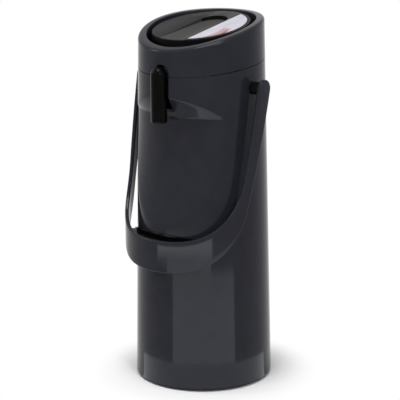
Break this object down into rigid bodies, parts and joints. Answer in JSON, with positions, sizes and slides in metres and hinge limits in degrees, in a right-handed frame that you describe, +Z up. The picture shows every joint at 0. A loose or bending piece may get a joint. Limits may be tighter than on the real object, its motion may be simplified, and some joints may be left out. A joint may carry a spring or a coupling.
{
  "type": "pump vacuum jug",
  "caption": "Tall tapered vacuum jug with a flip-up head, a sloping press button, a front spout in a recess and a bail handle that carries a drip tray.",
  "frame": {"origin": "centre of the foot ring's underside, on the surface that the jug stands on", "axes": "+Z up along the body's axis, the spout and the drip tray face -Y, the bail's pivots lie along X"},
  "size_m": [0.163, 0.156, 0.381],
  "materials": {
    "casing_plastic": "glossy anthracite moulded plastic",
    "head_plastic": "glossy anthracite moulded plastic, satin on the rim",
    "handle_plastic": "glossy anthracite moulded plastic",
    "button_plastic": "satin dark grey moulded plastic",
    "spout_black": "high gloss black plastic",
    "tray_plastic": "satin black plastic",
    "inner_plastic": "dark food-grade plastic",
    "silvered_glass": "silvered double-wall glass",
    "seal_rubber": "soft grey silicone",
    "foot_rubber": "black rubber",
    "steel": "stainless steel"
  },
  "bodies": {
    "pot": {"outer_casing": "casing_plastic", "neck_funnel": "inner_plastic", "mouth_seal": "seal_rubber", "liner_inner": "silvered_glass", "liner_outer": "silvered_glass", "liner_cushion": "foot_rubber", "base_plate": "inner_plastic", "foot_ring": "foot_rubber", "riser_tube": "steel", "riser_head": "inner_plastic", "spout_nozzle": "inner_plastic", "spout_cover": "spout_black", "pivot_bushes": "casing_plastic", "hinge_pin": "steel"},
    "head": {"head_shell": "head_plastic", "head_pan": "inner_plastic", "head_screws": "steel", "head_seal": "seal_rubber", "outlet_valve": "seal_rubber", "bellows": "foot_rubber", "return_spring": "steel"},
    "button": {"pump_button": "button_plastic", "plunger_plate": "inner_plastic", "plunger_screws": "steel", "inlet_valve": "seal_rubber"},
    "handle": {"handle_bail": "handle_plastic", "pivot_pins": "steel", "drip_tray": "tray_plastic", "drip_grille": "tray_plastic"}
  },
  "joints": [
    {"name": "head_flip", "type": "hinge", "parent": "pot", "child": "head", "pos_m": [0, 0.0695, 0.341], "axis": [-1, 0, 0], "range_deg": [0, 100]},
    {"name": "button_press", "type": "slide", "parent": "head", "child": "button", "axis": [0, 0, -1], "range_m": [0, 0.022], "stiffness_N_per_m": 700, "springref_m": -0.012, "deforming": ["bellows", "return_spring"]},
    {"name": "handle_swing", "type": "hinge", "parent": "pot", "child": "handle", "pos_m": [0, 0, 0.312], "axis": [-1, 0, 0], "range_deg": [0, 307.5]}
  ]
}
